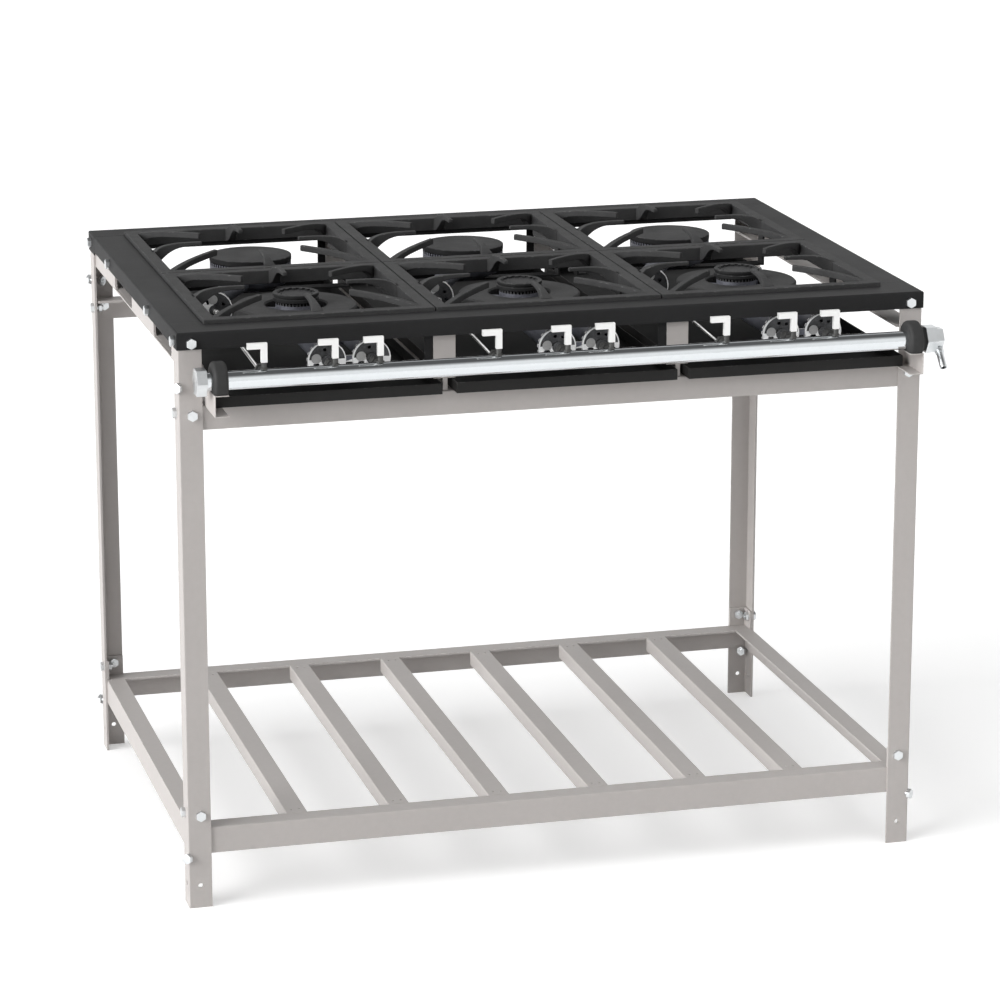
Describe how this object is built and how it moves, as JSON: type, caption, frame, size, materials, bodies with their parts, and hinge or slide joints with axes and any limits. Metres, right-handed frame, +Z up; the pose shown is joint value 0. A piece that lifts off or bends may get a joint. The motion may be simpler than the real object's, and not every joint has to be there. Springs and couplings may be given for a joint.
{
  "type": "gas burner stand",
  "caption": "Floor-standing gas stove on angle-iron legs, with cast grates, lifting burner caps, a front gas pipe with levers, pull-out drip trays and a slatted shelf.",
  "frame": {"origin": "on the floor under the cooktop's middle, midway between the foremost and the rearmost point of the stove", "axes": "+Z up, front towards -Y, +X to the right seen from the front"},
  "size_m": [1.0007, 0.764, 0.773],
  "materials": {
    "black_enamel": "satin black enamel on folded sheet",
    "grey_paint": "smooth warm grey paint on steel angle",
    "burner_iron": "blue-grey cast iron, fine grain",
    "cap_iron": "dark cast iron, fine grain",
    "grate_iron": "matte dark cast iron, fine grain",
    "nickel": "bright nickel plate",
    "zinc_pipe": "bright zinc-plated tube",
    "zinc_shutter": "satin zinc plate",
    "zinc_bolt": "zinc-plated",
    "rubber": "black moulded rubber",
    "black_tray": "black enamelled sheet"
  },
  "bodies": {
    "stand": {"front_border": "black_enamel", "rear_border": "black_enamel", "left_border": "black_enamel", "right_border": "black_enamel", "grate_dividers": "black_enamel", "leg_front_left": "grey_paint", "leg_front_right": "grey_paint", "leg_rear_left": "grey_paint", "leg_rear_right": "grey_paint", "front_rail": "grey_paint", "rear_rail": "grey_paint", "side_rails": "grey_paint", "rail_struts": "grey_paint", "burner_supports": "black_enamel", "shelf_front_rail": "grey_paint", "shelf_rear_rail": "grey_paint", "shelf_ends": "grey_paint", "shelf_slats": "grey_paint", "rear_burner_bodies": "burner_iron", "front_burner_bodies": "burner_iron", "gas_valves": "nickel", "manifold_pipe": "zinc_pipe", "pipe_plug": "zinc_pipe", "gas_inlet": "zinc_pipe", "rubber_collars": "rubber", "pipe_brackets": "grey_paint", "bolts": "zinc_bolt"},
    "grate_rear_left": {"grate_rear_left": "grate_iron"},
    "grate_rear_mid": {"grate_rear_mid": "grate_iron"},
    "grate_rear_right": {"grate_rear_right": "grate_iron"},
    "grate_front_left": {"grate_front_left": "grate_iron"},
    "grate_front_mid": {"grate_front_mid": "grate_iron"},
    "grate_front_right": {"grate_front_right": "grate_iron"},
    "cap_rear_left": {"cap_rear_left": "cap_iron"},
    "cap_rear_mid": {"cap_rear_mid": "cap_iron"},
    "cap_rear_right": {"cap_rear_right": "cap_iron"},
    "cap_front_left": {"cap_front_left": "cap_iron"},
    "cap_front_mid": {"cap_front_mid": "cap_iron"},
    "cap_front_right": {"cap_front_right": "cap_iron"},
    "lever_left_rear": {"lever_left_rear": "nickel"},
    "lever_left_inner": {"lever_left_inner": "nickel"},
    "lever_left_ring": {"lever_left_ring": "nickel"},
    "lever_mid_rear": {"lever_mid_rear": "nickel"},
    "lever_mid_inner": {"lever_mid_inner": "nickel"},
    "lever_mid_ring": {"lever_mid_ring": "nickel"},
    "lever_right_rear": {"lever_right_rear": "nickel"},
    "lever_right_inner": {"lever_right_inner": "nickel"},
    "lever_right_ring": {"lever_right_ring": "nickel"},
    "shutter_left_rear": {"shutter_left_rear": "zinc_shutter"},
    "shutter_left_inner": {"shutter_left_inner": "zinc_shutter"},
    "shutter_left_ring": {"shutter_left_ring": "zinc_shutter"},
    "shutter_mid_rear": {"shutter_mid_rear": "zinc_shutter"},
    "shutter_mid_inner": {"shutter_mid_inner": "zinc_shutter"},
    "shutter_mid_ring": {"shutter_mid_ring": "zinc_shutter"},
    "shutter_right_rear": {"shutter_right_rear": "zinc_shutter"},
    "shutter_right_inner": {"shutter_right_inner": "zinc_shutter"},
    "shutter_right_ring": {"shutter_right_ring": "zinc_shutter"},
    "tray_left": {"tray_left": "black_tray"},
    "tray_mid": {"tray_mid": "black_tray"},
    "tray_right": {"tray_right": "black_tray"}
  },
  "joints": [
    {"name": "grate_rear_left_lift", "type": "slide", "parent": "stand", "child": "grate_rear_left", "axis": [0, 0, 1], "range_m": [0, 0.15]},
    {"name": "grate_rear_mid_lift", "type": "slide", "parent": "stand", "child": "grate_rear_mid", "axis": [0, 0, 1], "range_m": [0, 0.15]},
    {"name": "grate_rear_right_lift", "type": "slide", "parent": "stand", "child": "grate_rear_right", "axis": [0, 0, 1], "range_m": [0, 0.15]},
    {"name": "grate_front_left_lift", "type": "slide", "parent": "stand", "child": "grate_front_left", "axis": [0, 0, 1], "range_m": [0, 0.15]},
    {"name": "grate_front_mid_lift", "type": "slide", "parent": "stand", "child": "grate_front_mid", "axis": [0, 0, 1], "range_m": [0, 0.15]},
    {"name": "grate_front_right_lift", "type": "slide", "parent": "stand", "child": "grate_front_right", "axis": [0, 0, 1], "range_m": [0, 0.15]},
    {"name": "cap_rear_left_lift", "type": "slide", "parent": "stand", "child": "cap_rear_left", "axis": [0, 0, 1], "range_m": [0, 0.1]},
    {"name": "cap_rear_mid_lift", "type": "slide", "parent": "stand", "child": "cap_rear_mid", "axis": [0, 0, 1], "range_m": [0, 0.1]},
    {"name": "cap_rear_right_lift", "type": "slide", "parent": "stand", "child": "cap_rear_right", "axis": [0, 0, 1], "range_m": [0, 0.1]},
    {"name": "cap_front_left_lift", "type": "slide", "parent": "stand", "child": "cap_front_left", "axis": [0, 0, 1], "range_m": [0, 0.1]},
    {"name": "cap_front_mid_lift", "type": "slide", "parent": "stand", "child": "cap_front_mid", "axis": [0, 0, 1], "range_m": [0, 0.1]},
    {"name": "cap_front_right_lift", "type": "slide", "parent": "stand", "child": "cap_front_right", "axis": [0, 0, 1], "range_m": [0, 0.1]},
    {"name": "lever_left_rear_turn", "type": "hinge", "parent": "stand", "child": "lever_left_rear", "pos_m": [-0.39, -0.35163, 0.7244], "axis": [0, 0, 1], "range_deg": [0, 90]},
    {"name": "lever_left_inner_turn", "type": "hinge", "parent": "stand", "child": "lever_left_inner", "pos_m": [-0.3, -0.35163, 0.7244], "axis": [0, 0, 1], "range_deg": [0, 90]},
    {"name": "lever_left_ring_turn", "type": "hinge", "parent": "stand", "child": "lever_left_ring", "pos_m": [-0.2425, -0.35163, 0.7244], "axis": [0, 0, 1], "range_deg": [0, 90]},
    {"name": "lever_mid_rear_turn", "type": "hinge", "parent": "stand", "child": "lever_mid_rear", "pos_m": [-0.09, -0.35163, 0.7244], "axis": [0, 0, 1], "range_deg": [0, 90]},
    {"name": "lever_mid_inner_turn", "type": "hinge", "parent": "stand", "child": "lever_mid_inner", "pos_m": [0, -0.35163, 0.7244], "axis": [0, 0, 1], "range_deg": [0, 90]},
    {"name": "lever_mid_ring_turn", "type": "hinge", "parent": "stand", "child": "lever_mid_ring", "pos_m": [0.0575, -0.35163, 0.7244], "axis": [0, 0, 1], "range_deg": [0, 90]},
    {"name": "lever_right_rear_turn", "type": "hinge", "parent": "stand", "child": "lever_right_rear", "pos_m": [0.21, -0.35163, 0.7244], "axis": [0, 0, 1], "range_deg": [0, 90]},
    {"name": "lever_right_inner_turn", "type": "hinge", "parent": "stand", "child": "lever_right_inner", "pos_m": [0.3, -0.35163, 0.7244], "axis": [0, 0, 1], "range_deg": [0, 90]},
    {"name": "lever_right_ring_turn", "type": "hinge", "parent": "stand", "child": "lever_right_ring", "pos_m": [0.3575, -0.35163, 0.7244], "axis": [0, 0, 1], "range_deg": [0, 90]},
    {"name": "shutter_left_rear_turn", "type": "hinge", "parent": "stand", "child": "shutter_left_rear", "pos_m": [-0.39, -0.02313, 0.722], "axis": [0, 1, 0], "range_deg": [-60, 60]},
    {"name": "shutter_left_inner_turn", "type": "hinge", "parent": "stand", "child": "shutter_left_inner", "pos_m": [-0.3, -0.30213, 0.7107], "axis": [0, 1, 0], "range_deg": [-60, 60]},
    {"name": "shutter_left_ring_turn", "type": "hinge", "parent": "stand", "child": "shutter_left_ring", "pos_m": [-0.2425, -0.30213, 0.7107], "axis": [0, 1, 0], "range_deg": [-60, 60]},
    {"name": "shutter_mid_rear_turn", "type": "hinge", "parent": "stand", "child": "shutter_mid_rear", "pos_m": [-0.09, -0.02313, 0.722], "axis": [0, 1, 0], "range_deg": [-60, 60]},
    {"name": "shutter_mid_inner_turn", "type": "hinge", "parent": "stand", "child": "shutter_mid_inner", "pos_m": [0, -0.30213, 0.7107], "axis": [0, 1, 0], "range_deg": [-60, 60]},
    {"name": "shutter_mid_ring_turn", "type": "hinge", "parent": "stand", "child": "shutter_mid_ring", "pos_m": [0.0575, -0.30213, 0.7107], "axis": [0, 1, 0], "range_deg": [-60, 60]},
    {"name": "shutter_right_rear_turn", "type": "hinge", "parent": "stand", "child": "shutter_right_rear", "pos_m": [0.21, -0.02313, 0.722], "axis": [0, 1, 0], "range_deg": [-60, 60]},
    {"name": "shutter_right_inner_turn", "type": "hinge", "parent": "stand", "child": "shutter_right_inner", "pos_m": [0.3, -0.30213, 0.7107], "axis": [0, 1, 0], "range_deg": [-60, 60]},
    {"name": "shutter_right_ring_turn", "type": "hinge", "parent": "stand", "child": "shutter_right_ring", "pos_m": [0.3575, -0.30213, 0.7107], "axis": [0, 1, 0], "range_deg": [-60, 60]},
    {"name": "tray_left_slide", "type": "slide", "parent": "stand", "child": "tray_left", "axis": [0, -1, 0], "range_m": [0, 0.45]},
    {"name": "tray_mid_slide", "type": "slide", "parent": "stand", "child": "tray_mid", "axis": [0, -1, 0], "range_m": [0, 0.45]},
    {"name": "tray_right_slide", "type": "slide", "parent": "stand", "child": "tray_right", "axis": [0, -1, 0], "range_m": [0, 0.45]}
  ]
}
